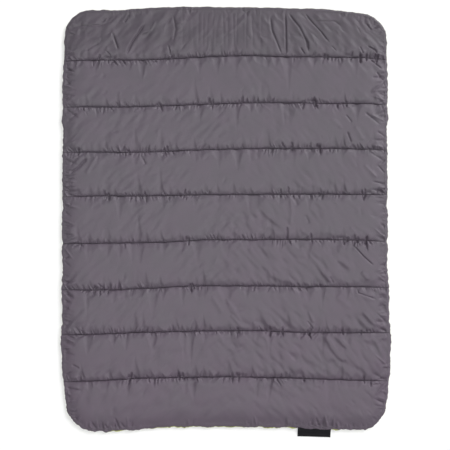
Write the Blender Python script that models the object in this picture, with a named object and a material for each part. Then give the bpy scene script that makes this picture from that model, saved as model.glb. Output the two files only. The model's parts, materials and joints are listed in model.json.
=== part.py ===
"""Camp quilt: a grey shell and a lime lining quilted through a polyester fill in nine channels.

Frame: +X to the right across the quilt, +Y towards the head hem, +Z up, in metres. The quilt lies
flat on z = 0 and the origin is the bottom centre of its bounding box. Channel 1 is at the head,
channel 9 at the foot, and seam n lies between channels n and n + 1. The quilt folds at its seams,
so each channel is a body of its own: a shell panel, a batt and a lining panel. The hinge lines lie
in turn at the height of the crowns and at the ground, so that each seam folds flat one way and the
whole quilt folds up as a fan.
"""

import math

import bpy
from mathutils import Matrix, Vector

# Plan of the quilt.
CHANNELS = 9
CHANNEL_PITCH = 0.200
END_CHANNEL = 0.215  # from the first or last seam to the hem beside it
FOOT_HEM_Y = -0.892
HALF_WIDTH_HEAD = 0.706
HALF_WIDTH_FOOT = 0.716
CORNER_RADIUS = 0.130
ACROSS = (-1.0, -0.66, -0.33, 0.0, 0.33, 0.66, 1.0)  # stations over the half width
CORNER_STEPS = 4

# How far each line lies lower at its left and right end than in its middle: the head hem,
# the eight seams and the foot hem, in that order.
DROPS = (
    (0.010, 0.016),
    (0.016, 0.004),
    (0.014, 0.001),
    (0.011, -0.001),
    (0.009, 0.001),
    (0.016, 0.001),
    (0.017, 0.004),
    (0.017, 0.008),
    (0.020, 0.014),
    (0.019, 0.015),
)

# Section through a channel.
LOFT = 0.024
FLANGE_Z = 0.0085  # middle of the flat stitched edge, where shell and lining meet
FABRIC = 0.0006
LAYER_GAP = 0.0003
SEAM_GAP = 0.0003
HEM_FLANGE = 0.014
SEAM_FLANGE = 0.004
HEM_SHOULDER = 0.030
SEAM_SHOULDER = 0.018
HEM_CROWN = 0.060
SEAM_CROWN = 0.045
SHOULDER_RISE = 0.68  # share of the rise from flange to crown that the shoulder has made
BATT_START = 0.3  # how far up the slope from flange to shoulder the batt begins
BATT_GAP = 0.0005

# Threads.
THREAD_WIDTH = 0.0009
THREAD_HEIGHT = 0.0005
TOPSTITCH_INSET = 0.011
QUILTING_INSET = 0.0128  # where a quilting row stops, just inside the topstitching
TOPSTITCH_SEAM_GAP = 0.0015

# Label at the foot hem.
LABEL_X = 0.388
LABEL_WIDTH = 0.144
LABEL_DROP = 0.038
LABEL_THICKNESS = 0.0012
LABEL_LEAF = 0.00045
LABEL_GAP = 0.0005
LABEL_TIP_Z = 0.0002
LABEL_STITCH_INSET = 0.005
LABEL_STITCH_MARGIN = 0.004
LABEL_HINGE_RISE = 0.0016  # from the middle of the hem up to the tab's hinge, over its stitches

# Hinges.
HINGE_CLEARANCE = 0.0006
ROOT_CHANNEL = 5
FOLDS_OVER = (1, 3, 5, 7)  # seams that fold shell to shell; the others fold lining to lining

SHELL_TOP_FLANGE = FLANGE_Z + LAYER_GAP / 2 + FABRIC
LINING_UNDER_FLANGE = FLANGE_Z - LAYER_GAP / 2 - FABRIC


def clear_scene():
    for item in list(bpy.data.objects):
        bpy.data.objects.remove(item)


def material(name, colour, roughness):
    made = bpy.data.materials.new(name)
    made.use_nodes = True
    shader = made.node_tree.nodes["Principled BSDF"]
    shader.inputs["Base Color"].default_value = (*colour, 1.0)
    shader.inputs["Roughness"].default_value = roughness
    shader.inputs["Metallic"].default_value = 0.0
    return made


# ---------------------------------------------------------------- lines of the plan


def smooth(t):
    t = min(max(t, 0.0), 1.0)
    return t * t * (3.0 - 2.0 * t)


def line_middle(line):
    """The y of a line at the quilt's middle: 0 is the head hem, 1 to 8 the seams, 9 the foot hem."""
    if line == CHANNELS:
        return FOOT_HEM_Y
    if line == 0:
        return FOOT_HEM_Y + 2 * END_CHANNEL + (CHANNELS - 2) * CHANNEL_PITCH
    return FOOT_HEM_Y + END_CHANNEL + (CHANNELS - 1 - line) * CHANNEL_PITCH


def line_y(line, x):
    left, right = DROPS[line]
    drop = left if x < 0 else right
    return line_middle(line) - drop * smooth(abs(x) / HALF_WIDTH_FOOT)


def half_width(y):
    head = line_middle(0)
    share = (head - y) / (head - FOOT_HEM_Y)
    return HALF_WIDTH_HEAD + (HALF_WIDTH_FOOT - HALF_WIDTH_HEAD) * share


def seam_points(line, side_inset, shift):
    """Points along a seam from left to right, moved by shift along y."""
    reach = half_width(line_middle(line)) - side_inset
    return [(share * reach, line_y(line, share * reach) + shift) for share in ACROSS]


def hem_points(line, inset):
    """Points along the head or foot hem from left to right, with the rounded corners, set in."""
    towards = 1.0 if line == 0 else -1.0
    reach = half_width(line_middle(line)) - CORNER_RADIUS
    radius = CORNER_RADIUS - inset

    def corner(side):
        centre_x = side * reach
        centre_y = line_y(line, centre_x) - towards * CORNER_RADIUS
        points = []
        for step in range(CORNER_STEPS + 1):
            angle = step / CORNER_STEPS * math.pi / 2
            points.append((centre_x + side * radius * math.cos(angle),
                           centre_y + towards * radius * math.sin(angle)))
        return points

    between = [(share * reach, line_y(line, share * reach) - towards * inset)
               for share in ACROSS[1:-1]]
    return corner(-1.0) + between + corner(1.0)[::-1]


def channel_loop(channel, hem_inset, seam_inset):
    """One closed loop round a channel, counterclockwise from above, set in from its edges."""
    head_line, foot_line = channel - 1, channel
    if channel == 1:
        top = hem_points(head_line, hem_inset)
    else:
        top = seam_points(head_line, hem_inset, -seam_inset)
    if channel == CHANNELS:
        bottom = hem_points(foot_line, hem_inset)
    else:
        bottom = seam_points(foot_line, hem_inset, seam_inset)
    return bottom + top[::-1]


# ---------------------------------------------------------------- solids


def loft(name, rings, finish):
    """A closed solid through rings of points, each with as many points, and a cap on each end."""
    count = len(rings[0])
    points = [point for ring in rings for point in ring]
    faces = [tuple(reversed(range(count)))]
    for lower in range(len(rings) - 1):
        a, b = lower * count, (lower + 1) * count
        for i in range(count):
            j = (i + 1) % count
            faces.append((a + i, a + j, b + j, b + i))
    last = (len(rings) - 1) * count
    faces.append(tuple(range(last, last + count)))
    mesh = bpy.data.meshes.new(name)
    mesh.from_pydata(points, [], faces)
    mesh.update()
    mesh.materials.append(finish)
    made = bpy.data.objects.new(name, mesh)
    bpy.context.scene.collection.objects.link(made)
    return made


def level(loop, z):
    return [(x, y, z) for x, y in loop]


def between(outer, inner, share):
    return [tuple(a + (b - a) * share for a, b in zip(p, q)) for p, q in zip(outer, inner)]


def channel_loops(channel):
    """The four loops of a channel: its edge, the end of its flat flange, its shoulder and crown."""
    return (
        channel_loop(channel, 0.0, SEAM_GAP / 2),
        channel_loop(channel, HEM_FLANGE, SEAM_FLANGE),
        channel_loop(channel, HEM_SHOULDER, SEAM_SHOULDER),
        channel_loop(channel, HEM_CROWN, SEAM_CROWN),
    )


def heights(flange, crown):
    shoulder = flange + (crown - flange) * SHOULDER_RISE
    return (flange, flange, shoulder, crown)


def fabric_panel(name, channel, flange, crown, inward, finish):
    """A fabric panel as a thin shell. inward is the signed way from its outer face to its inner."""
    loops = channel_loops(channel)
    outer = [level(loop, z) for loop, z in zip(loops, heights(flange, crown))]
    inner = [level(loop, z + inward) for loop, z in zip(loops, heights(flange, crown))]
    rings = inner[::-1] + outer if inward < 0 else outer[::-1] + inner
    return loft(name, rings, finish)


def batt(name, channel, finish):
    """The fill: it holds the space between the panels, from part of the way up their slopes."""
    loops = channel_loops(channel)
    clear = FABRIC + BATT_GAP
    top = [level(loop, z - clear) for loop, z in zip(loops, heights(SHELL_TOP_FLANGE, LOFT))]
    low = [level(loop, z + clear) for loop, z in zip(loops, heights(LINING_UNDER_FLANGE, 0.0))]
    top_edge = between(top[1], top[2], BATT_START)
    low_edge = between(low[1], low[2], BATT_START)
    rings = [low[3], low[2], low_edge, top_edge, top[2], top[3]]
    return loft(name, rings, finish)


def thread(name, path, finish):
    """A flat thread that lies on the shell's flange, along an open path in plan."""
    low = SHELL_TOP_FLANGE + LAYER_GAP
    sections = []
    for i, (x, y) in enumerate(path):
        before, after = path[max(i - 1, 0)], path[min(i + 1, len(path) - 1)]
        along = Vector((after[0] - before[0], after[1] - before[1])).normalized()
        side = Vector((-along.y, along.x)) * THREAD_WIDTH / 2
        left, right = (x + side.x, y + side.y), (x - side.x, y - side.y)
        high = low + THREAD_HEIGHT
        sections.append([(*left, low), (*left, high), (*right, high), (*right, low)])
    return loft(name, sections, finish)


# ---------------------------------------------------------------- the quilt's pieces


def channel_pieces(channel, finishes):
    n = str(channel)
    return [
        fabric_panel("shell_panel_" + n, channel, SHELL_TOP_FLANGE, LOFT, -FABRIC,
                     finishes["shell"]),
        batt("batting_" + n, channel, finishes["batting"]),
        fabric_panel("lining_panel_" + n, channel, LINING_UNDER_FLANGE, 0.0, FABRIC,
                     finishes["lining"]),
    ]


def quilting_row(seam, finish):
    return thread("quilting_thread_" + str(seam), seam_points(seam, QUILTING_INSET, 0.0), finish)


def topstitching(channel, finish):
    """The hem's thread: round the three outer edges of an end channel, or down both sides."""
    n = str(channel)
    if channel in (1, CHANNELS):
        hem_line, seam_line = (0, 1) if channel == 1 else (CHANNELS, CHANNELS - 1)
        away = TOPSTITCH_SEAM_GAP if channel == 1 else -TOPSTITCH_SEAM_GAP
        ends = seam_points(seam_line, TOPSTITCH_INSET, away)
        path = [ends[0]] + hem_points(hem_line, TOPSTITCH_INSET) + [ends[-1]]
        return [thread("hem_thread_" + n, path, finish)]
    head = seam_points(channel - 1, TOPSTITCH_INSET, -TOPSTITCH_SEAM_GAP)
    foot = seam_points(channel, TOPSTITCH_INSET, TOPSTITCH_SEAM_GAP)
    return [
        thread("hem_thread_" + n + "_left", [foot[0], head[0]], finish),
        thread("hem_thread_" + n + "_right", [foot[-1], head[-1]], finish),
    ]


def label_hem():
    """The two ends of the label's hinge, over the two points of the foot hem that its ends meet."""
    return [Vector((x, line_y(CHANNELS, x), FLANGE_Z + LABEL_HINGE_RISE))
            for x in (LABEL_X - LABEL_WIDTH / 2, LABEL_X + LABEL_WIDTH / 2)]


def label_pieces(finishes):
    """A strip folded lengthwise: two leaves joined along the outer edge, with their raw edges at
    the hem. It slopes from the hem down to the ground, and each end has a row of stitching. The
    meshes are about the label's hinge, with X along the hem."""
    half = LABEL_THICKNESS / 2
    near, far = -LABEL_GAP, -LABEL_GAP - LABEL_DROP
    fold = far + LABEL_LEAF
    slot = half - LABEL_LEAF
    section = [(near, -half), (near, -slot), (fold, -slot), (fold, slot), (near, slot),
               (near, half), (far, half), (far, -half)]
    sides = (-LABEL_WIDTH / 2, LABEL_WIDTH / 2)
    tab = loft("label_tab", [[(x, y, z) for y, z in section] for x in sides], finishes["label"])

    stitches = []
    for word, side in (("left", -1), ("right", 1)):
        middle = side * (LABEL_WIDTH / 2 - LABEL_STITCH_INSET)
        low = half + LAYER_GAP
        high = low + THREAD_HEIGHT
        start, end = near - LABEL_STITCH_MARGIN, far + LABEL_STITCH_MARGIN
        corners = [(start, low), (start, high), (end, high), (end, low)]
        edges = (middle - THREAD_WIDTH / 2, middle + THREAD_WIDTH / 2)
        rings = [[(x, y, z) for y, z in corners] for x in edges]
        stitches.append(loft("label_stitching_" + word, rings, finishes["label_thread"]))

    slope = math.asin((FLANGE_Z - half - LABEL_TIP_Z) / (LABEL_DROP + LABEL_GAP))
    below_hinge = Matrix.Translation((0.0, 0.0, -LABEL_HINGE_RISE))
    for made in [tab] + stitches:
        made.data.transform(below_hinge @ Matrix.Rotation(slope, 4, "X"))
    return [tab] + stitches


# ---------------------------------------------------------------- hinges


def seam_hinge_point(seam):
    """On the mean line of the seam, at the crowns' height where shell folds to shell, else at
    the ground, where lining folds to lining."""
    left, right = DROPS[seam]
    over = seam in FOLDS_OVER
    height = LOFT + HINGE_CLEARANCE if over else -HINGE_CLEARANCE
    return Vector((0.0, line_middle(seam) - (left + right) / 4, height))


def hinge_empty(name, place, parent):
    made = bpy.data.objects.new(name, None)
    bpy.context.scene.collection.objects.link(made)
    made.empty_display_size = 0.05
    made.location = place - (parent["place"] if parent else Vector())
    made.parent = parent["empty"] if parent else None
    return {"empty": made, "place": place}


def hang_on(hinge, pieces):
    """Parents pieces whose meshes are in the quilt's frame to a hinge, where they stay put."""
    for piece in pieces:
        piece.data.transform(Matrix.Translation(-hinge["place"]))
        piece.parent = hinge["empty"]


def build():
    clear_scene()
    finishes = {
        "shell": material("shell_taffeta", (0.150, 0.128, 0.153), 0.48),
        "lining": material("lining_taffeta", (0.36, 0.40, 0.07), 0.50),
        "batting": material("polyester_batting", (0.85, 0.85, 0.83), 0.95),
        "thread": material("sewing_thread", (0.060, 0.050, 0.062), 0.65),
        "label": material("woven_label", (0.012, 0.012, 0.014), 0.70),
        "label_thread": material("label_thread", (0.030, 0.030, 0.033), 0.65),
    }
    channels = {n: channel_pieces(n, finishes) for n in range(1, CHANNELS + 1)}
    for n in range(1, CHANNELS + 1):
        channels[n] += topstitching(n, finishes["thread"])
    for seam in range(1, CHANNELS):
        # A row of quilting goes with the channel on the far side of its seam from the root.
        outer = seam if seam < ROOT_CHANNEL else seam + 1
        channels[outer].append(quilting_row(seam, finishes["thread"]))

    towards_head = None
    for n in range(ROOT_CHANNEL - 1, 0, -1):
        towards_head = hinge_empty("seam_" + str(n) + "_hinge", seam_hinge_point(n), towards_head)
        hang_on(towards_head, channels[n])
    towards_foot = None
    for n in range(ROOT_CHANNEL + 1, CHANNELS + 1):
        seam = n - 1
        towards_foot = hinge_empty("seam_" + str(seam) + "_hinge", seam_hinge_point(seam),
                                   towards_foot)
        hang_on(towards_foot, channels[n])

    left, right = label_hem()
    label = hinge_empty("label_hinge", (left + right) / 2, towards_foot)
    label["empty"].rotation_euler.z = math.atan2(right.y - left.y, right.x - left.x)
    for piece in label_pieces(finishes):
        piece.parent = label["empty"]


build()
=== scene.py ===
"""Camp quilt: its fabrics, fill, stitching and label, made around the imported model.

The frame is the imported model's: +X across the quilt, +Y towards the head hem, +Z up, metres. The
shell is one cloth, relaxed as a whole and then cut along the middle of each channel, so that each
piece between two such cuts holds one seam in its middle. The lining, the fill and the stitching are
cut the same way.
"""

import json
import math

import bpy
import numpy as np
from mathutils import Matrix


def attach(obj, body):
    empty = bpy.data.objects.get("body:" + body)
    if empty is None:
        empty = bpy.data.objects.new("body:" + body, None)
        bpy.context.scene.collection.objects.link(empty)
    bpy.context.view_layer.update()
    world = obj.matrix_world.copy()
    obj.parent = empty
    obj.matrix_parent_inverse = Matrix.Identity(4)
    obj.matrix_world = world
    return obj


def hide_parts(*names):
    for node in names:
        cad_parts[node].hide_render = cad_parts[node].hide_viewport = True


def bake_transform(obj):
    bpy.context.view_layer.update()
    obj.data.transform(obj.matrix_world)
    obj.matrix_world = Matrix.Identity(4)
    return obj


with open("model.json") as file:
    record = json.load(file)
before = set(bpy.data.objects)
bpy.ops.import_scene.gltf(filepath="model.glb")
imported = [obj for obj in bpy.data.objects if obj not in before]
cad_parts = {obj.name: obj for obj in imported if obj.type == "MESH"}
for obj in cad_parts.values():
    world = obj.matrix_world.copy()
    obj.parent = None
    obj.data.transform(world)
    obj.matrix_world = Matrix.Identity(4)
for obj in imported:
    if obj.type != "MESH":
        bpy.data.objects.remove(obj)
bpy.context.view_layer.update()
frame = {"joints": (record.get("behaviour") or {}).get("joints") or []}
JOINTS = {joint["name"]: joint for joint in frame["joints"]}

# ---------------------------------------------------------------- plan

CHANNELS = 9
HALF_WIDTH = 0.716
HEAD_CHANNEL = 0.218  # from the middle of the first seam to the head hem
FOOT_CHANNEL = 0.2165  # from the middle of the last seam to the foot hem
TOPSTITCH_INSET = 0.011
# The outline and the seams follow places measured in the photo, thinned to few points.
# How far the middle of each seam, 1 to 8, lies from its hinge towards the head.
OVER_HINGE = (0.002, 0.001, 0.0, 0.0015, 0.004, 0.005, 0.008, 0.010)

# The outline's own shape, mm: (x, drop) along the head and foot hems, (y, half width) down the sides.
HEAD_EDGE = ((-680, 12), (-440, 11.5), (-320, 2), (0, 0), (300, 5), (434, 10), (520, 18), (600, 27),
             (700, 40))
FOOT_EDGE = ((-680, 20), (-512, 20), (-379, 13), (-250, 3), (0, 0), (250, 4), (400, 9), (477, 12),
             (574, 16), (700, 16))
LEFT_EDGE = ((-910, 683), (-800, 693), (-680, 707), (-300, 714), (0, 712), (480, 711), (700, 707),
             (800, 701), (930, 697))
RIGHT_EDGE = ((-910, 682), (-820, 693), (-740, 708), (-640, 716), (-350, 715), (-150, 708), (200, 707),
              (700, 705), (800, 702), (930, 696))
# The seams' own shapes, mm: (x, drop) along each, from its middle.
SEAM_CURVES = (
    ((-690, 18), (-550, 15), (-330, 14), (-220, 9), (-70, 1), (100, -4), (240, 0), (450, 2), (600, 5),
     (690, 11)),
    ((-690, 19), (-400, 19), (-240, 14), (-60, 7), (100, 2), (300, 1), (450, 5), (640, 6), (690, 9)),
    ((-690, 16), (-330, 16), (-150, 8), (90, 2), (350, 1), (550, 2), (690, 6)),
    ((-690, 12), (-580, 9), (-300, 8), (-150, 4), (100, 2), (400, 1), (690, 3)),
    ((-690, 17), (-450, 14), (-250, 10), (-100, 1), (100, 0), (550, 1), (690, 7)),
    ((-690, 18), (-500, 18), (-330, 11), (-160, 2), (100, 1), (350, 4), (600, 5), (690, 8)),
    ((-690, 16), (-580, 14), (-420, 7), (-200, 1), (0, -2), (140, -2), (280, 4), (690, 7)),
    ((-690, 20), (-550, 15), (-420, 7), (-200, 1), (50, -1), (250, 3), (500, 11), (690, 17)),
)
LINE_CURVES = (HEAD_EDGE, *SEAM_CURVES, FOOT_EDGE)
CORNERS = {("left", "head"): 0.113, ("right", "head"): 0.105,
           ("left", "foot"): 0.118, ("right", "foot"): 0.102}

# ---------------------------------------------------------------- section

RING = 4  # this grid ring, counted from the outline, runs along the topstitching
CELL = TOPSTITCH_INSET / RING
SEAM_Z = 0.0072  # shell at a quilted seam
HEM_Z = 0.0118  # shell at the hem's topstitching
LINING_HEM_Z = 0.0074  # lining at the hem's topstitching
EDGE_Z = 0.0082  # where shell and lining meet at the outline
CROWN = 0.0245  # top of a puffed channel, without its creases
RIDGE = 0.0028  # the most a crease stands over the crown
LAYERS = 0.0018  # from the shell to the lining at a seam
LINING_REST = 0.0004  # the lining where it lies on the ground

rng = np.random.default_rng(41)


def smooth(t):
    t = np.clip(t, 0.0, 1.0)
    return t * t * (3.0 - 2.0 * t)


def through(points, at):
    """A smooth curve through (place, value) points in mm, level beyond its ends."""
    places, values = np.array(points).T / 1000
    slopes = np.gradient(values, places)
    at = np.clip(at, places[0], places[-1])
    k = np.clip(np.searchsorted(places, at) - 1, 0, len(places) - 2)
    step = places[k + 1] - places[k]
    t = (at - places[k]) / step
    rise = t * t * (3.0 - 2.0 * t)
    return (values[k] * (1.0 - rise) + values[k + 1] * rise
            + step * t * (1.0 - t) * ((1.0 - t) * slopes[k] - t * slopes[k + 1]))


def noise(across, along, turn=0.0):
    """Smooth random field over the grid, of unit size, with features of those lengths in metres,
    turned by that angle."""
    rows, cols = SHAPE
    fy = np.fft.fftfreq(rows)[:, None] / CELL
    fx = np.fft.rfftfreq(cols)[None, :] / CELL
    u = fx * math.cos(turn) + fy * math.sin(turn)
    v = fy * math.cos(turn) - fx * math.sin(turn)
    mask = np.exp(-0.5 * ((u * across) ** 2 + (v * along) ** 2) * 4.0)
    field = np.fft.irfft2(np.fft.rfft2(rng.standard_normal(SHAPE)) * mask, s=SHAPE)
    return field / field.std()


def wall(distance, reach):
    """How much of its rise the puffed cloth has made at that distance from its stitching."""
    return 1.0 - np.exp(-np.maximum(distance, 0.0) / reach)


# ---------------------------------------------------------------- grid

def seam_middle(seam):
    return JOINTS[f"seam_{seam}_fold"]["pos_m"][1] + OVER_HINGE[seam - 1]


HEAD = seam_middle(1) + HEAD_CHANNEL
FOOT = seam_middle(CHANNELS - 1) - FOOT_CHANNEL
LINES = [HEAD] + [seam_middle(n) for n in range(1, CHANNELS)] + [FOOT]


def grid_lines():
    """The rows' y from the head hem down, the row of each line, and the columns' x."""
    rows, at = [HEAD], [0]
    for upper, lower in zip(LINES, LINES[1:]):
        count = round((upper - lower) / CELL)
        rows += [upper + (lower - upper) * (k + 1) / count for k in range(count)]
        at.append(len(rows) - 1)
    half = round(HALF_WIDTH / CELL)
    cols = np.arange(-half, half + 1) * CELL
    return np.array(rows), at, cols


ROW_Y, LINE_ROW, COL_X = grid_lines()
REACH = COL_X[-1]
FLAT_X, FLAT_Y = np.meshgrid(COL_X, ROW_Y)
SHAPE = FLAT_X.shape
EDGE = np.minimum(REACH - np.abs(FLAT_X), np.minimum(HEAD - FLAT_Y, FLAT_Y - FOOT))


def round_corners():
    """The grid's x and y, with the rectangle's rings bent into arcs at the corners."""
    x, y = FLAT_X, FLAT_Y
    for (side, end), radius in CORNERS.items():
        sx = -1.0 if side == "left" else 1.0
        sy = 1.0 if end == "head" else -1.0
        cx, cy = sx * (REACH - radius), (HEAD if sy > 0 else FOOT) - sy * radius
        p = (x - cx) * sx / radius
        q = (y - cy) * sy / radius
        inside = (p > 0) & (q > 0)
        m = np.maximum(p, q)
        angle = np.where(q <= p, q / np.where(m > 0, m, 1.0),
                         2.0 - p / np.where(m > 0, m, 1.0)) * math.pi / 4
        x = np.where(inside, cx + sx * radius * m * np.cos(angle), x)
        y = np.where(inside, cy + sy * radius * m * np.sin(angle), y)
    return x, y


def line_shift(line, x):
    """How far a line lies above its middle at x. Line 0 is the head hem, 1 to 8 are the seams."""
    return -through(LINE_CURVES[line], x)


def line_y(line, x):
    return LINES[line] + float(line_shift(line, np.array(x)))


FADE = 0.03  # the reach over which the outline's waves turn from one side to the next
SCALLOP_BAND = 0.022  # the outline's waves die out this far inside it


def plan():
    """Plan of the grid: the x and y of each point."""
    x, y = round_corners()
    width = np.where(x < 0, through(LEFT_EDGE, y), through(RIGHT_EDGE, y))
    x = x * width / REACH
    shift = np.zeros_like(y)
    place = np.interp(-y, -np.array(LINES), np.arange(CHANNELS + 1))
    low = np.clip(place.astype(int), 0, CHANNELS - 1)
    part = place - low
    for n in range(CHANNELS):
        a, b = line_shift(n, x), line_shift(n + 1, x)
        shift = np.where(low == n, a + (b - a) * part, shift)
    beside = np.exp((np.abs(FLAT_X) - REACH) / FADE) * np.sign(FLAT_X)
    beyond = np.exp((FLAT_Y - HEAD) / FADE) - np.exp((FOOT - FLAT_Y) / FADE)
    away = np.hypot(beside, beyond) + 1e-9
    scallop = 0.0017 * noise(0.032, 0.032) + 0.0008 * noise(0.012, 0.012)
    calm_head = 1.0 - 0.5 * np.exp((FLAT_Y - HEAD) / 0.06)
    scallop *= smooth(1.0 - EDGE / SCALLOP_BAND) * calm_head
    return x + scallop * beside / away, y + shift + scallop * beyond / away


PLAN_X, PLAN_Y = plan()
NO_SEAM = 1.0  # stands for the distance to a seam where an end channel has none


def distances():
    """From each point to the seam above it and to the one below it, and the point's channel."""
    lines = np.array(LINES)
    channel = np.clip(np.searchsorted(-lines, -FLAT_Y, side="right") - 1, 0, CHANNELS - 1)
    above = np.where(channel == 0, NO_SEAM, lines[channel] - FLAT_Y)
    below = np.where(channel == CHANNELS - 1, NO_SEAM, FLAT_Y - lines[channel + 1])
    return above, below, channel


ABOVE, BELOW, CHANNEL = distances()
SEAM_DISTANCE = np.minimum(ABOVE, BELOW)


# ---------------------------------------------------------------- cloth

RELAX_STEPS = 24
STIFFNESS = 0.012  # against bending, and so the least width of a pucker
FIRMNESS = 0.002  # how strongly the fill holds the cloth to its height in each step
HOLD = 0.98  # the share of a sideways move that the fill leaves in each step
THREAD_PULL, BIAS_PULL = 0.9, 0.25  # the springs along the threads and across them


def relax(start, base, gather):
    """Relaxes a cloth whose sewn lines are held, and whose crosswise threads are longer than the
    plan by that share, gather. It buckles into puckers, and the fill holds it to its shape."""
    cloth = start.astype(np.float32)
    base = base.astype(np.float32)
    row, col = np.indices(SHAPE)
    ring = np.minimum(np.minimum(row, row[::-1]), np.minimum(col, col[:, ::-1]))
    free = ((ring != 0) & (ring != RING)).astype(np.float32)
    free[LINE_ROW[1:-1]] = 0.0

    def springs(da, db, share, strength):
        """From each point to the one da rows down and db columns right, with a share of gather."""
        rows, cols = SHAPE
        ra = slice(0, rows - da)
        rb = slice(da, rows)
        ca = slice(max(-db, 0), cols - max(db, 0))
        cb = slice(max(db, 0), cols - max(-db, 0))
        rest = np.linalg.norm(base[rb, cb] - base[ra, ca], axis=2) * (1.0 + share * gather[ra, ca])
        return ra, ca, rb, cb, rest.astype(np.float32), strength, da

    sets = [springs(0, 1, 1.0, THREAD_PULL), springs(1, 0, 0.0, THREAD_PULL),
            springs(1, 1, 0.5, BIAS_PULL), springs(1, -1, 0.5, BIAS_PULL)]

    def pull(spring, odd):
        """Moves every second row or column of springs towards their length at rest."""
        ra, ca, rb, cb, rest, strength, da = spring
        step = (slice(odd, None, 2), slice(None)) if da else (slice(None), slice(odd, None, 2))
        a, b = cloth[ra, ca][step], cloth[rb, cb][step]
        wa, wb = free[ra, ca][step], free[rb, cb][step]
        d = b - a
        length = np.sqrt(np.einsum("ijk,ijk->ij", d, d))
        pulled = strength * (1.0 - rest[step] / length) / np.maximum(wa + wb, 1.0)
        a += d * (pulled * wa)[..., None]
        b -= d * (pulled * wb)[..., None]

    for _ in range(RELAX_STEPS):
        for spring in sets:
            pull(spring, 0)
            pull(spring, 1)
        moved = cloth - base
        moved -= laplacian(laplacian(moved)) * STIFFNESS
        moved[..., 2] *= 1.0 - FIRMNESS
        moved[..., :2] *= HOLD
        cloth = base + moved * free[..., None]
    return cloth.astype(float)


def laplacian(field):
    """How far each point lies from the mean of its four neighbours."""
    padded = np.pad(field, ((1, 1), (1, 1), (0, 0)), mode="edge")
    return field - (padded[:-2, 1:-1] + padded[2:, 1:-1] + padded[1:-1, :-2]
                    + padded[1:-1, 2:]) * 0.25


WALL_REACH, SHOULDER_REACH = 0.0015, 0.040
SHOULDER = 0.45  # the share of the rise that the shoulder makes


def puff(distance):
    """Rise beside a seam: a steep wall, then a long round shoulder."""
    shoulder = 1.0 - np.clip(1.0 - distance / SHOULDER_REACH, 0, 1) ** 2
    return (1.0 - SHOULDER) * wall(distance, WALL_REACH) + SHOULDER * shoulder


def shell_start():
    """The sewn section: low at seams and hem, puffed between them, flatter at the head."""
    inner = np.maximum(EDGE - TOPSTITCH_INSET, 0.0)
    above = ABOVE * np.exp(0.45 * noise(0.026, 0.5))
    below = BELOW * np.exp(0.45 * noise(0.026, 0.5))
    both = puff(above) * puff(below)
    low = SEAM_Z + (HEM_Z - SEAM_Z) * np.exp(-inner / 0.012) * np.minimum(1.5 * both, 1.0)
    flap = 1.0 - 0.50 * smooth((BELOW - 0.03) / 0.17)
    rise = both * wall(inner, 0.030) * np.where(CHANNEL == 0, flap, 1.0)
    swell = 1.0 + 0.02 * noise(0.09, 0.06)
    z = low + (CROWN - low) * rise * swell
    band = np.clip(EDGE / TOPSTITCH_INSET, 0, 1)
    z = np.where(EDGE < TOPSTITCH_INSET, EDGE_Z + (z - EDGE_Z) * band ** 0.7, z)
    return np.dstack([PLAN_X, PLAN_Y, z])


def crease(field, points, width, height, start=0.25, end=0.5):
    """Adds a ridge, or with a negative height a groove, along a line of points, with a dip or a
    swell on both sides of it. It builds up over the first share of its length, start, and fades
    over the last, end."""
    points = np.array(points, float)
    margin = 3.0 * width + 0.025
    low, high = points.min(0) - margin, points.max(0) + margin
    ca, cb = np.searchsorted(COL_X, [low[0], high[0]])
    ra, rb = len(ROW_Y) - np.searchsorted(ROW_Y[::-1], [high[1], low[1]])
    if cb - ca < 2 or rb - ra < 2:
        return
    x, y = PLAN_X[ra:rb, ca:cb], PLAN_Y[ra:rb, ca:cb]
    steps = np.diff(points, axis=0)
    lengths = np.linalg.norm(steps, axis=1)
    run = 0.0
    nearest, progress = np.full(x.shape, 1e9), np.zeros(x.shape)
    for origin, step, length in zip(points, steps, lengths):
        t = ((x - origin[0]) * step[0] + (y - origin[1]) * step[1]) / length ** 2
        t = np.clip(t, 0.0, 1.0)
        away = np.hypot(x - origin[0] - t * step[0], y - origin[1] - t * step[1])
        progress = np.where(away < nearest, (run + t * length) / lengths.sum(), progress)
        nearest = np.minimum(nearest, away)
        run += length
    u = nearest / width
    sharp = np.exp(0.3 - np.hypot(u, 0.3))
    taper = smooth(progress / start) * smooth((1.0 - progress) / end)
    field[ra:rb, ca:cb] += height * taper * (sharp - 0.4 * np.exp(-(u / 2.6) ** 2))


def along_line(count, patch):
    """Smooth random values of unit size along a line of count points, each patch points long."""
    values = np.fft.rfft(rng.standard_normal(count))
    values *= np.exp(-0.5 * (np.fft.rfftfreq(count) * patch * 2.0) ** 2)
    line = np.fft.irfft(values, n=count)
    return line / line.std()


PUCKERS = 110  # along each side of a seam
PUCKER_REACH = REACH - 0.012  # puckers and fans end this far out, just inside the topstitching
GATHERS = 400  # places around the hem at which the strength of its gathers is drawn


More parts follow.
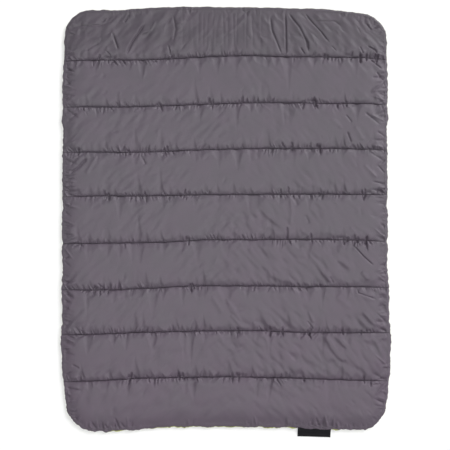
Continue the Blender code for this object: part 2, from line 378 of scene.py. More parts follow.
def seam_puckers(field):
    """Short puckers that fan out from each quilted seam, in uneven patches, and here and there a
    group of deep ones that cross it."""
    for seam in range(1, CHANNELS):
        for side in (1.0, -1.0):
            strength = np.clip(0.55 + 0.6 * along_line(PUCKERS, 5.0), 0.05, 2.4)
            lean = 0.35 * along_line(PUCKERS, 9.0)
            for k in range(PUCKERS):
                x = (-1.0 + 2.0 * (k + rng.uniform(0.1, 0.9)) / PUCKERS) * PUCKER_REACH
                edge = math.exp(-(REACH - abs(x)) / 0.10)
                y = line_y(seam, x)
                length = rng.uniform(0.012, 0.030) * (0.7 + 0.5 * strength[k]) * (1 + 0.4 * edge)
                angle = lean[k] + rng.normal(0.0, 0.20) + 0.25 * edge * math.copysign(1.0, x)
                height = rng.uniform(0.3, 1.0) * 0.0052 * strength[k] * (1 + 0.5 * edge)
                sign = 1.0 if rng.uniform() < 0.35 else -1.0
                end = (x + length * math.sin(angle), y + side * length * math.cos(angle))
                crease(field, [(x, y), end], rng.uniform(0.0028, 0.0048), sign * height, 0.08, 0.8)
        for _ in range(rng.integers(5, 8)):
            middle = rng.uniform(-0.66, 0.66)
            side = rng.choice((-1.0, 1.0))
            dent_y = line_y(seam, middle) + side * 0.009
            reach = rng.uniform(0.015, 0.045)
            crease(field, [(middle - reach, dent_y), (middle + reach, dent_y)],
                   rng.uniform(0.007, 0.011), -rng.uniform(0.0030, 0.0060), 0.5, 0.5)
            for _ in range(rng.integers(1, 4)):
                x = middle + rng.normal(0.0, 0.014)
                y = line_y(seam, x)
                lean = rng.normal(0.0, 0.25)
                up, down = rng.uniform(0.008, 0.034, 2)
                crease(field, [(x + up * lean, y + up), (x, y), (x - down * lean, y - down)],
                       rng.uniform(0.0034, 0.0050), -rng.uniform(0.0060, 0.0110), 0.3, 0.3)


def hem_puckers(field):
    """Gathers square to the outline, inside the topstitching and in the band outside it."""
    ring = outline_ring(RING)
    normals = ring_normals(ring)
    spaced = np.cumsum(np.hypot(*np.diff(ring, axis=0).T))
    strength = np.clip(0.7 + 0.6 * along_line(GATHERS, 6.0), 0.1, 2.2)
    place = 0.0
    while place < spaced[-1]:
        k = int(np.searchsorted(spaced, place))
        point, inward = ring[k], normals[k]
        at_head = inward[1] < -0.5
        size = strength[int(place / spaced[-1] * (GATHERS - 1))] * (0.55 if at_head else 1.0)
        lean = rng.normal(0.0, 0.3)
        turned = np.array([inward[0] * math.cos(lean) - inward[1] * math.sin(lean),
                           inward[0] * math.sin(lean) + inward[1] * math.cos(lean)])
        sign = 1.0 if rng.uniform() < 0.45 else -1.0
        length = rng.uniform(0.012, 0.055) * (0.6 + 0.4 * size)
        crease(field, [point - inward * 0.010, point + turned * length],
               rng.uniform(0.0034, 0.0062), sign * rng.uniform(0.0014, 0.0050) * size, 0.18, 0.5)
        place += rng.uniform(0.006, 0.018)


def side_fans(field):
    """Creases that fan out from each end of each seam, where the side hem gathers the cloth."""
    for seam in range(1, CHANNELS):
        for side in (-1.0, 1.0):
            end_y = line_y(seam, side * 0.7)
            for _ in range(rng.integers(5, 10)):
                off = rng.normal(0.0, 0.030)
                start = (side * PUCKER_REACH, end_y + off)
                length = rng.uniform(0.025, 0.095)
                turn = math.copysign(rng.uniform(0.05, 0.9), off)
                end = (start[0] - side * length * math.cos(turn), start[1] + length * math.sin(turn))
                sign = 1.0 if rng.uniform() < 0.4 else -1.0
                crease(field, [start, end], rng.uniform(0.0042, 0.0088),
                       sign * rng.uniform(0.0022, 0.0060), 0.25, 0.5)


def loose_creases(field):
    """Thin slanted creases all over the channels, most of them in the end channel at the head."""
    for channel in range(CHANNELS):
        top, bottom = LINES[channel], LINES[channel + 1]
        for _ in range(80 if channel == 0 else 16):
            x = rng.uniform(-0.66, 0.66)
            if channel and rng.uniform() < 0.4:
                x = math.copysign(rng.uniform(0.40, 0.67), x)
            y = rng.uniform(bottom + 0.03, top - 0.03)
            slope = -0.9 if x > 0.1 else 0.9
            turn = math.atan2(1.0, slope) + rng.normal(0.0, 0.35)
            length = rng.uniform(0.030, 0.080)
            step = np.array([math.cos(turn), math.sin(turn)]) * length / 2
            bend = np.array([-step[1], step[0]]) * rng.uniform(-0.25, 0.25)
            middle = np.array([x, y])
            sign = 1.0 if rng.uniform() < 0.5 else -1.0
            width = rng.uniform(0.0040, 0.0105)
            height = rng.uniform(0.12, 0.50) * width * (1.1 if channel == 0 else 0.7)
            crease(field, [middle - step, middle + bend, middle + step], width, sign * height,
                   0.5, 0.5)


def outline_ring(inset):
    """The plan of the grid's ring that many cells in from the outline, counterclockwise."""
    flat = np.dstack([PLAN_X, PLAN_Y])
    far = -1 - inset
    top = flat[inset, inset:far][::-1]
    left = flat[inset:far, inset]
    bottom = flat[far, inset:far]
    right = flat[inset + 1:far, far][::-1]
    return np.concatenate([top, left, bottom, right])


def ring_normals(ring):
    """The unit direction inward at each point of a counterclockwise ring."""
    along = np.roll(ring, -2, axis=0) - np.roll(ring, 2, axis=0)
    along /= np.linalg.norm(along, axis=1, keepdims=True)
    return np.stack([-along[:, 1], along[:, 0]], axis=1)


# Single creases, placed where the photo shows strong ones: width and height in tenths of
# a mm, then points in mm.
CREASES = (
    (45, -96, (-349, 868), (-377, 822), (-403, 787), (-433, 722)), (45, -72, (-420, 905), (-442, 866)),
    (49, -72, (-494, 831), (-486, 805), (-464, 744)), (34, -43, (-520, 744), (-498, 722)),
    (45, -34, (-542, 783), (-610, 744)), (49, -53, (-651, 853), (-549, 857), (-505, 870), (-470, 900)),
    (37, -72, (-250, 770), (-233, 709)), (60, -48, (-228, 905), (-217, 840), (-228, 780)),
    (60, 43, (-300, 880), (-325, 835), (-375, 815)), (45, -67, (194, 905), (200, 840), (246, 722)),
    (37, -82, (259, 918), (262, 860), (264, 722)),
    (56, -96, (268, 918), (320, 850), (355, 780), (362, 722)),
    (45, -72, (342, 914), (381, 866), (416, 826), (455, 775)), (34, -62, (325, 760), (344, 729)),
    (37, -34, (386, 875), (490, 875)), (37, -48, (460, 766), (482, 744)),
    (37, -53, (582, 766), (600, 730)), (37, -72, (616, 766), (652, 748), (660, 727)),
    (45, -53, (612, 866), (638, 831)), (37, -82, (625, 713), (682, 665)),
    (37, -58, (-630, -467), (-614, -493)), (37, -58, (-651, -506), (-614, -493)),
    (41, -67, (238, 148), (238, 104)), (41, -62, (272, 157), (274, 113)),
    (80, -32, (303, 106), (312, 70)), (45, -67, (268, -17), (268, -80)),
    (80, -30, (347, 32), (364, -8)), (38, -60, (551, -96), (600, -150), (647, -192)),
    (38, -60, (572, -284), (576, -308), (659, -337)), (80, 50, (430, -214), (455, -262)),
    (60, -50, (452, -236), (470, -266)), (100, 45, (480, -318), (546, -378)),
    (60, -50, (354, -428), (383, -468)), (90, 45, (593, -384), (659, -457)),
    (100, 42, (-60, -318), (-10, -398)), (100, 45, (-2, -326), (71, -435)),
    (80, 40, (20, -398), (78, -464)), (100, 40, (346, -122), (400, -180), (440, -250)),
    (70, 40, (281, 111), (288, 46), (281, -20)), (55, -80, (-599, 281), (-640, 238), (-684, 206)),
    (45, -60, (-634, 289), (-676, 243)), (45, -60, (-703, 639), (-680, 625)),
    (45, -60, (-703, 615), (-673, 598)), (60, -60, (-643, 473), (-690, 438)),
    (50, -60, (-634, 106), (-690, 123)), (60, -60, (-703, 70), (-669, 79)),
    (45, -60, (-669, -109), (-634, -96), (-617, -111)), (50, -60, (-703, -161), (-678, -152)),
    (45, -50, (-556, -266), (-534, -288)), (60, -70, (-700, -380), (-678, -375)),
    (50, -40, (-669, -620), (-634, -637)), (80, 48, (-552, 300), (-608, 206)),
    (70, -45, (-366, 289), (-346, 247)), (60, -52, (603, 479), (673, 424)),
    (80, 42, (455, 452), (510, 405)), (90, 45, (560, 420), (600, 352)),
    (45, -55, (655, 656), (690, 612)), (65, -55, (637, 628), (695, 630)),
    (60, 55, (630, 563), (695, 614)), (55, 55, (630, 468), (695, 439)),
    (50, -45, (521, 468), (550, 432)), (50, -65, (528, 395), (546, 344)),
    (50, -55, (659, 395), (695, 373)), (70, -55, (622, 308), (695, 264)),
    (50, -55, (659, 250), (695, 213)), (90, 50, (590, -214), (625, -252)),
    (70, 45, (360, -385), (385, -440)), (90, 42, (545, -560), (585, -640)),
    (90, 42, (470, -545), (515, -610)), (80, 48, (600, 250), (662, 190)),
    (70, 45, (540, -20), (575, -60)),
)


def end_ripples(field):
    """Fine ripples across the middle of the end channel, from the head hem to the first seam."""
    for k in range(19):
        x = -0.18 + 0.021 * k + rng.normal(0.0, 0.003)
        drift = rng.normal(0.0, 0.005)
        crease(field, [(x, 0.922), (x + drift, 0.83), (x + 1.5 * drift, 0.735)],
               rng.uniform(0.005, 0.008), -rng.uniform(0.0003, 0.0021), 0.15, 0.3)


STITCH_HOLD = 0.004  # the stitching keeps puckers down this far beside it
FOLD_HOLD = 0.035  # and broad folds this far


def soft_folds():
    """Broad shallow folds: strong in the slack end channel at the head, faint elsewhere, and
    stronger on the right of the fifth to eighth channels. They lean inwards towards the head."""
    left = noise(0.024, 0.060, 0.75)
    right = noise(0.024, 0.060, -0.70)
    side = smooth((PLAN_X + 0.15) / 0.35)
    middle = np.exp(-((PLAN_X - 0.02) / 0.16) ** 2)
    patches = np.clip(0.36 + 0.24 * noise(0.16, 0.08), 0.08, 0.9)
    patches *= 1.0 + 1.7 * side * (CHANNEL > 3) * (CHANNEL < 8)
    slack = np.where(CHANNEL == 0, 1.0 - 0.7 * middle, patches)
    held = smooth(EDGE / FOLD_HOLD) * smooth(SEAM_DISTANCE / FOLD_HOLD)
    return 0.0014 * slack * held * (left * (1.0 - side) + right * side)


def free_of_stitches():
    """0 at the stitching and at the outline, 1 away from them."""
    hem = smooth(np.abs(EDGE - TOPSTITCH_INSET) / STITCH_HOLD)
    return smooth(SEAM_DISTANCE / STITCH_HOLD) * hem * smooth(EDGE / STITCH_HOLD)


def make_shell():
    """The shell's points. The relaxation softens the puckers, so they are added after it."""
    base = shell_start()
    puckers = np.zeros(SHAPE)
    seam_puckers(puckers)
    hem_puckers(puckers)
    side_fans(puckers)
    loose_creases(puckers)
    end_ripples(puckers)
    for width, height, *points in CREASES:
        crease(puckers, np.array(points) / 1000, width / 10000, height / 10000, 0.2, 0.2)
    cloth = base.copy()
    cloth[..., 2] += soft_folds() + 0.3 * puckers
    near = np.exp(-(SEAM_DISTANCE / 0.025) ** 2)
    cloth = relax(cloth, base, 0.03 * near)
    cloth[..., 2] += puckers * free_of_stitches()
    over = np.maximum(cloth[..., 2] - CROWN, 0.0)
    cloth[..., 2] += RIDGE * (1.0 - np.exp(-over / RIDGE)) - over
    return cloth


# How far the lining shows beyond the shell along the foot hem: (x, distance), mm.
PEEK = ((-520, 0), (-460, 3.5), (-430, 0), (-360, 0), (-300, 2), (-200, 3.2), (-80, 1.4), (20, 3),
        (120, 1.2), (200, 3), (260, 1), (295, 4.5), (315, 0), (460, 0), (480, 4.5), (500, 0))


def make_lining():
    """The lining's points: flat on the ground, and drawn up at the seams and the hem."""
    inner = EDGE - TOPSTITCH_INSET
    lift = np.maximum(np.exp(-np.maximum(inner, 0) / 0.012), np.exp(-SEAM_DISTANCE / 0.010))
    seam_z = SEAM_Z - LAYERS
    hem = np.exp(-np.maximum(inner, 0.0) / 0.02) * wall(SEAM_DISTANCE, 0.012)
    z = LINING_REST + (seam_z + (LINING_HEM_Z - seam_z) * hem - LINING_REST) * lift
    puckers = np.zeros(SHAPE)
    seam_puckers(puckers)
    hem_puckers(puckers)
    puckers += 0.5 * soft_folds()
    bumps = np.minimum(-0.5 * puckers, 0.0012) * free_of_stitches()
    peek = np.maximum(through(PEEK, PLAN_X), 0.0) * smooth((FOOT + 0.012 - PLAN_Y) / 0.012)
    y = PLAN_Y - np.where(PLAN_Y < 0, peek, 0.0)
    return np.dstack([PLAN_X, y, np.maximum(z + bumps, LINING_REST)])


def widened(field, pick, cols, rows):
    """The lowest or the highest value, as picked, within that many columns and rows of each point."""
    for axis, reach in ((1, cols), (0, rows)):
        field = pick.reduce([np.roll(field, shift, axis) for shift in range(-reach, reach + 1)])
    return field


# ---------------------------------------------------------------- rows beside the seams

BESIDE_SEAM = (0.2, 0.5)  # the extra rows' places, as shares of the first cell beside a seam


def with_seam_rows(cloth):
    """The cloth with extra rows close to each seam, where it dives steeply to the stitches."""
    rows = []
    for row in range(SHAPE[0]):
        rows.append(cloth[row])
        if row + 1 in LINE_ROW[1:-1]:
            rows += [between_rows(cloth[row + 1], cloth[row], share) for share in BESIDE_SEAM[::-1]]
        elif row in LINE_ROW[1:-1]:
            rows += [between_rows(cloth[row], cloth[row + 1], share) for share in BESIDE_SEAM]
    return np.array(rows)


def between_rows(seam, beside, share):
    """A row that share of the way from the seam's, and already high up the wall beside it."""
    row = seam + (beside - seam) * share
    row[:, 2] = seam[:, 2] + (beside[:, 2] - seam[:, 2]) * (1.0 - (1.0 - share) ** 4)
    return row


def final_row(row):
    """Where a row of the relaxed grid lies once the seams have their extra rows."""
    added = sum(len(BESIDE_SEAM) * ((row > line - 1) + (row > line)) for line in LINE_ROW[1:-1])
    return row + added


# ---------------------------------------------------------------- meshes

def mesh_object(name, points, faces, finish, caps=()):
    """A mesh of four-sided faces, and of the caps, which are rings of any number of points. It keeps
    where each point lies in the flat quilt, so that a pattern stays on the cloth."""
    mesh = bpy.data.meshes.new(name)
    mesh.vertices.add(len(points))
    mesh.vertices.foreach_set("co", np.asarray(points, np.float32).ravel())
    corners = np.concatenate([np.asarray(faces, np.int32).ravel()]
                             + [np.asarray(cap, np.int32) for cap in caps])
    sizes = np.array([4] * len(faces) + [len(cap) for cap in caps], np.int32)
    mesh.loops.add(len(corners))
    mesh.loops.foreach_set("vertex_index", corners)
    mesh.polygons.add(len(sizes))
    mesh.polygons.foreach_set("loop_start", np.cumsum(sizes) - sizes)
    mesh.update(calc_edges=True)
    mesh.validate()
    mesh.shade_smooth()
    mesh.materials.append(finish)
    rest = mesh.attributes.new("rest", "FLOAT_VECTOR", "POINT")
    rest.data.foreach_set("vector", np.asarray(points, np.float32).ravel())
    made = bpy.data.objects.new(name, mesh)
    bpy.context.scene.collection.objects.link(made)
    return made


def grid_faces(rows, cols, up):
    index = np.arange(rows * cols).reshape(rows, cols)
    a, b = index[:-1, :-1].ravel(), index[1:, :-1].ravel()
    c, d = index[1:, 1:].ravel(), index[:-1, 1:].ravel()
    return np.stack([a, b, c, d] if up else [a, d, c, b], axis=1)


def grid_normals(cloth, up):
    across = np.gradient(cloth, axis=1)
    down = np.gradient(cloth, axis=0)
    normal = np.cross(down, across)
    normal /= np.maximum(np.linalg.norm(normal, axis=2, keepdims=True), 1e-12)
    return normal if up else -normal


def with_rim(cloth, outline):
    """Adds a ring of points around the grid, on the outline, where shell and lining meet."""
    padded = np.pad(outline, ((1, 1), (1, 1), (0, 0)), mode="edge")
    padded[1:-1, 1:-1] = cloth
    rim = np.zeros(padded.shape[:2], bool)
    rim[[0, -1]] = True
    rim[:, [0, -1]] = True
    padded[rim, 2] = EDGE_Z
    return padded


CUTS = [0] + [final_row((a + b) // 2) for a, b in zip(LINE_ROW, LINE_ROW[1:])]
CUTS.append(final_row(SHAPE[0] - 1))
SEAM_ROWS = [final_row(row) for row in LINE_ROW]
ROWS = CUTS[-1] + 1


def zones():
    """Each stretch between two cuts: its name, its first and last row and its channels."""
    found = [("head", 0, CUTS[1], (1,))]
    for seam in range(1, CHANNELS):
        found.append((f"seam_{seam}", CUTS[seam], CUTS[seam + 1], (seam, seam + 1)))
    found.append(("foot", CUTS[CHANNELS], CUTS[CHANNELS + 1], (CHANNELS,)))
    return found


def follow(made, channels):
    """A piece of the head or foot end rides on its channel; each other piece, which holds a seam, has
    its place baked into its points.
    """
    bodies = [f"channel_{n}" for n in channels]
    if len(channels) == 1:
        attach(made, *bodies)
    else:
        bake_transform(made)


def painted_seam_shade_field():
    """How much painted shade darkens the shell's colour along each seam, in place of the shadow in its
    groove, for the grid with its seam rows and its rim: 1 at a seam's ends, a quarter along its
    middle,
    0 from the third row beside it."""
    from_side = REACH - np.abs(np.pad(COL_X, 1, mode="edge"))
    share = 0.25 + 0.75 * np.exp(-from_side / 0.035)
    field = np.zeros((ROWS + 2, SHAPE[1] + 2), np.float32)
    for row in SEAM_ROWS[1:-1]:
        for away, value in enumerate((1.0, 0.7, 0.2)):
            field[row + 1 + away] = field[row + 1 - away] = value * share
    return field


def cut_cloth(kind, cloth, outline, up, finish):
    """Cuts the cloth into its pieces, which share their normals where they meet."""
    whole = with_rim(cloth, outline)
    normals = grid_normals(whole, up)
    # Painted shade along the seams, kept on each piece for the shell's material to darken its colour
    # by.
    pressed = painted_seam_shade_field()
    for zone, first, last, channels in zones():
        top = 0 if zone == "head" else first + 1
        bottom = last + 2 if zone == "foot" else last + 1
        block = whole[top:bottom + 1]
        points = block.reshape(-1, 3)
        made = mesh_object(f"{kind}_{zone}", points, grid_faces(*block.shape[:2], up), finish)
        attribute = made.data.attributes.new("pressed", "FLOAT", "POINT")
        attribute.data.foreach_set("value", pressed[top:bottom + 1].ravel())
        made.data.normals_split_custom_set_from_vertices(
            normals[top:bottom + 1].reshape(-1, 3).tolist())
        follow(made, channels)
        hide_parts(*[f"{kind}_panel_{n}" for n in channels])


# ---------------------------------------------------------------- materials

def shader(name, colour, roughness):
    made = bpy.data.materials.new(name)
    made.use_nodes = True
    tree = made.node_tree
    bsdf = tree.nodes["Principled BSDF"]
    bsdf.inputs["Base Color"].default_value = (*colour, 1.0)
    bsdf.inputs["Roughness"].default_value = roughness
    return made, tree, bsdf


def node(tree, kind, **settings):
    """A new node. Each setting is one of its properties or, by name, one of its sockets, which takes
    a value or another node's output."""
    made = tree.nodes.new("ShaderNode" + kind)
    for name, value in settings.items():
        if hasattr(made, name):
            setattr(made, name, value)
        elif isinstance(value, bpy.types.NodeSocket):
            tree.links.new(value, made.inputs[name])
        else:
            made.inputs[name.replace("_", " ")].default_value = value
    return made


def rest_place(tree):
    """Where each point lies in the flat quilt."""
    return node(tree, "Attribute", attribute_name="rest").outputs["Vector"]


def ramp(tree, value, ends, tints):
    """The colour that goes from one tint to the other as the value goes from end to end."""
    made = node(tree, "ValToRGB", Fac=value)
    for element, end, tint in zip(made.color_ramp.elements, ends, tints):
        element.position = end
        element.color = (*tint, 1.0)
    return made.outputs["Color"]


def multiplied(tree, colour, share, factor):
    """The colour, multiplied by that factor as far as the share says."""
    return node(tree, "MixRGB", blend_type="MULTIPLY", Fac=share, Color1=colour,
                Color2=(*factor, 1.0)).outputs["Color"]


DRIFT = (0.32, 0.68)  # the noise's values at which one tint ends and the other begins
GLOSS = (0.55, 0.59)  # roughness of the two cloths
WEAVE = 520.0


def drifting(tree, place, scale, tints):
    """A noise over the cloth, and the colour that drifts between two tints with it."""
    drift = node(tree, "TexNoise", Vector=place, Scale=scale, Detail=3.0, Roughness=0.6)
    return drift.outputs["Fac"], ramp(tree, drift.outputs["Fac"], DRIFT, tints)


def bumped(tree, bsdf, height, strength, distance):
    bump = node(tree, "Bump", Height=height, Strength=strength, Distance=distance)
    tree.links.new(bump.outputs["Normal"], bsdf.inputs["Normal"])


def taffeta(name, tints, blotch, sheen):
    """Plain-weave cloth: fine crossed threads, and a colour and a gloss that drift over the cloth."""
    made, tree, bsdf = shader(name, tints[0], sum(GLOSS) / 2)
    place = rest_place(tree)
    drift, colour = drifting(tree, place, blotch, tints)
    tree.links.new(colour, bsdf.inputs["Base Color"])
    worn = node(tree, "MapRange", Value=drift, From_Min=DRIFT[0], From_Max=DRIFT[1],
                To_Min=GLOSS[0], To_Max=GLOSS[1])
    tree.links.new(worn.outputs["Result"], bsdf.inputs["Roughness"])
    both = node(tree, "Math", operation="ADD")
    for socket, axis in zip(both.inputs, ("X", "Y")):
        wave = node(tree, "TexWave", bands_direction=axis, Vector=place, Scale=WEAVE,
                    Distortion=0.6, Detail=1.0)
        tree.links.new(wave.outputs["Fac"], socket)
    bumped(tree, bsdf, both.outputs["Value"], 0.25, 0.0003)
    bsdf.inputs["Specular IOR Level"].default_value = 0.62
    bsdf.inputs["Sheen Weight"].default_value = sheen
    bsdf.inputs["Sheen Roughness"].default_value = 0.45
    return made, tree, bsdf, colour


def shell_taffeta():
    """The shell's cloth: darker in the end channel at the head, darkened along each seam line by
    painted shade, and more purple towards the foot."""
    made, tree, bsdf, colour = taffeta("shell_taffeta", SHELL_TINTS, 11.0, 0.03)
    parts = node(tree, "SeparateXYZ", Vector=rest_place(tree))
    for start, end, factor in TINTED:
        towards = node(tree, "MapRange", Value=parts.outputs["Y"], From_Min=start, From_Max=end)
        colour = multiplied(tree, colour, towards.outputs["Result"], factor)
    # Painted shade: the seam lines are darkened in the colour, in place of the shadow in their
    # grooves.
    pressed = node(tree, "Attribute", attribute_name="pressed")
    colour = multiplied(tree, colour, pressed.outputs["Fac"], PAINTED_SEAM_SHADE_FACTOR)
    tree.links.new(colour, bsdf.inputs["Base Color"])
    return made


def fibrous(name, tints, blotch, ribs, tangle, roughness, shine):
    """Thread, ribbon or fill: slanted ribs as fine as their scale, ribs, and bent by the tangle,
    in a colour that drifts between two tints."""
    made, tree, bsdf = shader(name, tints[0], roughness)
    place = rest_place(tree)
    _, colour = drifting(tree, place, blotch, tints)
    tree.links.new(colour, bsdf.inputs["Base Color"])
    wave = node(tree, "TexWave", bands_direction="DIAGONAL", Vector=place, Scale=ribs,
                Distortion=tangle, Detail=2.0)
    bumped(tree, bsdf, wave.outputs["Fac"], 0.4, 0.06 / ribs)
    bsdf.inputs["Specular IOR Level"].default_value = shine
    return made


# The colour factor of the painted shade along the seams.
PAINTED_SEAM_SHADE_FACTOR = (0.35, 0.35, 0.35)
SHELL_TINTS = ((0.079, 0.066, 0.085), (0.092, 0.073, 0.097))
# Where along the quilt the shell's colour changes, from one y to the other, and by how much.
TINTED = ((0.68, 0.80, (0.78, 0.78, 0.78)), (0.10, -0.85, (1.0, 0.91, 0.985)))
SHELL = shell_taffeta()
LINING = taffeta("lining_taffeta", ((0.34, 0.39, 0.06), (0.38, 0.42, 0.08)), 14.0, 0.10)[0]
FILL = fibrous("polyester_batting", ((0.80, 0.80, 0.78), (0.88, 0.88, 0.86)), 40.0, 30.0, 9.0,
               0.95, 0.5)
THREAD = fibrous("sewing_thread", ((0.052, 0.043, 0.054), (0.068, 0.057, 0.070)), 90.0, 900.0, 0.5,
                 0.65, 0.5)
LABEL = fibrous("woven_label", ((0.0075, 0.0075, 0.0095), (0.0105, 0.0105, 0.0125)), 60.0, 300.0,
                0.3, 0.90, 0.2)
LABEL_THREAD = fibrous("label_thread", ((0.038, 0.038, 0.043), (0.052, 0.052, 0.057)), 90.0, 900.0,
                       0.5, 0.80, 0.3)


# ---------------------------------------------------------------- fill

FILL_STEP = 2  # grid cells to one of the fill's
FILL_INSET = RING + 1
FILL_UNDER, FILL_OVER = 0.0011, 0.0006  # its gaps to the shell and to the lining
FILL_LEAST = 0.0001  # the least it is thick


def make_fill(shell, lining):
    """The batting between the two cloths, pinched thin where it runs through each seam."""
    near = widened(shell[..., 2], np.minimum, 2, 1)
    far = widened(lining[..., 2], np.maximum, 1, 1)
    for zone, first, last, channels in zones():
        seam_rows = SEAM_ROWS[channels[0]] + np.arange(-4, 5) if len(channels) == 2 else []
        rows = np.unique(np.concatenate([np.arange(first, last, FILL_STEP), [last], seam_rows]))
        rows = rows.astype(int)
        rows = rows[(rows >= FILL_INSET) & (rows <= ROWS - 1 - FILL_INSET)]
        cols = np.arange(FILL_INSET, SHAPE[1] - FILL_INSET, FILL_STEP)
        area = np.ix_(rows, cols)
        low, high = lining[area].copy(), shell[area].copy()
        low[..., 2] = far[area] + FILL_OVER
        high[..., 2] = np.maximum(near[area] - FILL_UNDER, low[..., 2] + FILL_LEAST)
        made = slab(f"batting_{zone}", low, high, FILL)
        follow(made, channels)
        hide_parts(*[f"batting_{n}" for n in channels])


def slab(name, low, high, finish):
    """A closed piece between two grids of points, one over the other."""
    rows, cols = low.shape[:2]
    count = rows * cols
    index = np.arange(count).reshape(rows, cols)
    rim = np.concatenate([index[0, :-1], index[:-1, -1], index[-1, :0:-1], index[:0:-1, 0]])
    after = np.roll(rim, -1)
    sides = np.stack([rim, after, after + count, rim + count], axis=1)
    faces = np.concatenate([grid_faces(rows, cols, False), grid_faces(rows, cols, True) + count,
                            sides])
    points = np.concatenate([low.reshape(-1, 3), high.reshape(-1, 3)])
    return mesh_object(name, points, faces, finish)


# ---------------------------------------------------------------- stitching

STITCH = 0.0032
STITCH_GAP = 0.0009
STITCH_RADIUS = 0.00034
STITCH_SIDES = 6
STITCH_LIFT = 0.00015  # the middle of a stitch's thread over the cloth
# The rings of a stitch: share of its length, width and lift, both in radii.
STATIONS = ((0.0, 0.45, -0.6), (0.14, 1.0, 0.25), (0.86, 1.0, 0.25), (1.0, 0.45, -0.6))


def stitch_faces():
    """The sides of one stitch, ring after ring, and its two ends."""
    shape = []
    last = (len(STATIONS) - 1) * STITCH_SIDES
    for a in range(0, last, STITCH_SIDES):
        for i in range(STITCH_SIDES):
            after = (i + 1) % STITCH_SIDES
            shape.append((a + i, a + after, a + STITCH_SIDES + after, a + STITCH_SIDES + i))
    shape += [(3, 2, 1, 0), (5, 4, 3, 0), (last, last + 1, last + 2, last + 3),
              (last, last + 3, last + 4, last + 5)]
    return np.array(shape)


def stitches(name, paths, finish):
    """Rows of stitches along paths. Each path is its points and 1 for the top, -1 for the underside.
    A stitch is a short thread that dips into the cloth at both ends."""
    points, faces = [], []
    base, each = 0, len(STATIONS) * STITCH_SIDES
    angles = np.arange(STITCH_SIDES) / STITCH_SIDES * 2 * math.pi
    shape = stitch_faces()
    for path, up in paths:
        run = np.append(0.0, np.cumsum(np.linalg.norm(np.diff(path, axis=0), axis=1)))
        starts = np.arange(STITCH_GAP, run[-1] - STITCH, STITCH + STITCH_GAP)

        def at(distance):
            return np.stack([np.interp(distance, run, path[:, k]) for k in range(3)], axis=1)

        along = at(starts + STITCH) - at(starts)
        along /= np.linalg.norm(along, axis=1, keepdims=True)
        rise = np.array([0.0, 0.0, float(up)])
        across = np.cross(along, rise)
        rings = []
        for share, width, lift in STATIONS:
            centre = at(starts + share * STITCH) + rise * lift * STITCH_RADIUS
            offset = across[:, None] * np.cos(angles)[:, None] + rise * np.sin(angles)[:, None]
            rings.append(centre[:, None] + offset * STITCH_RADIUS * width)
        points.append(np.concatenate(rings, axis=1).reshape(-1, 3))
        firsts = base + np.arange(len(starts)) * each
        faces.append((firsts[:, None, None] + shape).reshape(-1, 4))
        base += len(starts) * each
    return mesh_object(name, np.concatenate(points), np.concatenate(faces), finish)


def make_stitching(shell, lining):
    """The quilting along the seams and the topstitching around the hem, on both cloths."""
    over = ((shell, 1, STITCH_LIFT), (lining, -1, -STITCH_LIFT))
    for zone, first, last, channels in zones():
        if len(channels) == 2:
            seam = channels[0]
            row = SEAM_ROWS[seam]
            paths = [(cloth[row, 2:-2] + (0, 0, gap), up) for cloth, up, gap in over]
            made = stitches(f"quilting_{seam}", paths, THREAD)
            follow(made, channels)
            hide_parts(f"quilting_thread_{seam}")
        top, bottom = max(first, RING), min(last, ROWS - 1 - RING)
        paths = []
        for cloth, up, gap in over:
            left = cloth[top:bottom + 1, RING]
            right = cloth[top:bottom + 1, -1 - RING]
            if zone == "head":
                line = [np.concatenate([left[::-1], cloth[RING, RING + 1:-1 - RING], right])]
            elif zone == "foot":
                line = [np.concatenate([left, cloth[-1 - RING, RING + 1:-1 - RING], right[::-1]])]
            else:
                line = [left, right]
            paths += [(points + (0, 0, gap), up) for points in line]
        made = stitches(f"topstitching_{zone}", paths, THREAD)
        follow(made, channels)
        nodes = []
        for n in channels:
            ends = ("",) if n in (1, CHANNELS) else ("_left", "_right")
            nodes += [f"hem_thread_{n}{end}" for end in ends]
        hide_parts(*nodes)


# ---------------------------------------------------------------- label

LABEL_WIDTH = 0.144
LABEL_DROP = 0.038
LABEL_TUCK = 0.007  # how far it runs into the hem, where it is sewn in
LEAF = 0.00048  # thickness of each of the folded strip's two leaves
LEAF_SLIT = 0.00014
LABEL_STITCH_INSET = 0.005
LABEL_STITCH_MARGIN = 0.002  # from the ends of a row of stitches to the hem and to the fold


def label_frame():
    """The label's hinge point in plan, its direction along the hem, and the way out."""
    hinge = JOINTS["label_flap"]
    middle = np.array(hinge["pos_m"][:2])
    along = -np.array(hinge["axis"][:2])
    return middle, along, np.array([along[1], -along[0]])


def label_height(out, along):
    """Height of the middle of the label: it leaves the hem level, then comes down to the ground."""
    hem = EDGE_Z - 0.0002
    ground = LEAF + LEAF_SLIT + 0.0004
    fall = smooth((out - 0.001) / 0.024)
    wave = 0.0005 * np.sin(along * 75.0 + 0.6) + 0.0003 * np.sin(along * 170.0 + out * 60.0)
    return hem + (ground - hem) * fall + wave * smooth((out + 0.004) / 0.02) * (1.2 - fall)


def label_section():
    """Outline of the folded strip as (way out, height): two leaves joined at the outer fold."""
    high, slit = LEAF + LEAF_SLIT / 2, LEAF_SLIT / 2
    outs = np.linspace(-LABEL_TUCK, LABEL_DROP - high, 22)
    turn = np.linspace(math.pi / 2, -math.pi / 2, 7)[1:-1]
    fold = [(LABEL_DROP - high + high * math.cos(a), high * math.sin(a)) for a in turn]
    inner = outs[outs < LABEL_DROP - 2.2 * high]
    return ([(o, high) for o in outs] + fold + [(o, -high) for o in outs[::-1]]
            + [(o, -slit) for o in inner] + [(o, slit) for o in inner[::-1]])


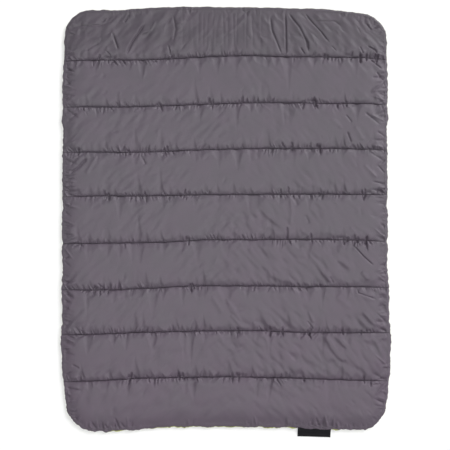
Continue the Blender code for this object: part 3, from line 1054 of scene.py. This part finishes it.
def make_label():
    middle, along, out = label_frame()
    section = np.array(label_section())
    spans = np.linspace(-LABEL_WIDTH / 2, LABEL_WIDTH / 2, 61)
    rings = []
    for span in spans:
        xy = middle + along * span + out * section[:, :1]
        z = label_height(section[:, 0], span) + section[:, 1]
        rings.append(np.column_stack([xy, z]))
    points = np.concatenate(rings)
    index = np.arange(len(points)).reshape(len(spans), len(section))
    after = np.roll(index, -1, axis=1)
    faces = np.stack([index[:-1], index[1:], after[1:], after[:-1]], axis=2).reshape(-1, 4)
    made = mesh_object("label", points, faces, LABEL, [index[0], index[-1, ::-1]])
    bend_at_hem(made)
    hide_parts("label_tab")
    outs = np.linspace(LABEL_STITCH_MARGIN, LABEL_DROP - LABEL_STITCH_MARGIN, 24)
    for word, side in (("left", -1), ("right", 1)):
        span = side * (LABEL_WIDTH / 2 - LABEL_STITCH_INSET)
        xy = middle + along * span + out * outs[:, None]
        high = label_height(outs, span) + LEAF + LEAF_SLIT / 2 + 0.0002
        row = stitches(f"label_stitching_{word}_row", [(np.column_stack([xy, high]), 1)],
                       LABEL_THREAD)
        bend_at_hem(row)
        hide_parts(f"label_stitching_{word}")


def bend_at_hem(made):
    """Bakes the piece's place into its points."""
    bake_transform(made)


# ---------------------------------------------------------------- the quilt, put together

shell, lining = make_shell(), make_lining()
# The shell stays over the lining, closer to it near the outline.
lowest = widened(lining[..., 2], np.maximum, 3, 2) + np.where(EDGE > 0.007, LAYERS, 0.0006)
shell[..., 2] = np.maximum(shell[..., 2], lowest)
shell, lining = with_seam_rows(shell), with_seam_rows(lining)
cut_cloth("shell", shell, shell, True, SHELL)
cut_cloth("lining", lining, shell, False, LINING)
make_fill(shell, lining)
make_stitching(shell, lining)
make_label()


# ---------------------------------------------------------------- floor, light and camera

FLOOR = 20.0  # half its side
SKY = 1.06
# Far, large softboxes: strength, spread, direction and height, all but the first in degrees.
LAMPS = (("key", 2.11, 16.0, -55.0, 82.0), ("side", 2.40, 26.0, 42.0, 24.0))
LENS, SENSOR = 60.0, 36.0
ACROSS = 1.962  # the picture's width, and its middle
MIDDLE = (-0.002, -0.0125, 0.01)


def light_the_sky():
    """White at the horizon, and dark from 25 degrees above it."""
    world = bpy.data.worlds.new("studio")
    bpy.context.scene.world = world
    world.use_nodes = True
    tree = world.node_tree
    background = tree.nodes["Background"]
    background.inputs["Strength"].default_value = SKY
    direction = node(tree, "TexCoord")
    parts = node(tree, "SeparateXYZ", Vector=direction.outputs["Generated"])
    walls = ramp(tree, parts.outputs["Z"], (0.20, 0.42), ((1.0, 1.0, 1.0), (0.08, 0.08, 0.08)))
    tree.links.new(walls, background.inputs["Color"])


def put(name, data):
    holder = bpy.data.objects.new(name, data)
    bpy.context.scene.collection.objects.link(holder)
    return holder


def studio():
    white = shader("floor_white", (0.92, 0.92, 0.92), 0.9)[0]
    corners = [(-FLOOR, -FLOOR, 0), (FLOOR, -FLOOR, 0), (FLOOR, FLOOR, 0), (-FLOOR, FLOOR, 0)]
    mesh_object("floor", corners, [(0, 1, 2, 3)], white)
    light_the_sky()
    for name, strength, spread, turn, height in LAMPS:
        lamp = bpy.data.lights.new(name, "SUN")
        lamp.energy = strength
        lamp.angle = math.radians(spread)
        put(name, lamp).rotation_euler = (0.0, math.radians(90.0 - height), math.radians(turn))
    camera = bpy.data.cameras.new("camera")
    camera.lens = LENS
    camera.sensor_width = SENSOR
    holder = put("camera", camera)
    holder.location = (MIDDLE[0], MIDDLE[1], ACROSS * LENS / SENSOR + MIDDLE[2])
    bpy.context.scene.camera = holder
    bpy.context.scene.view_settings.view_transform = "Standard"


studio()
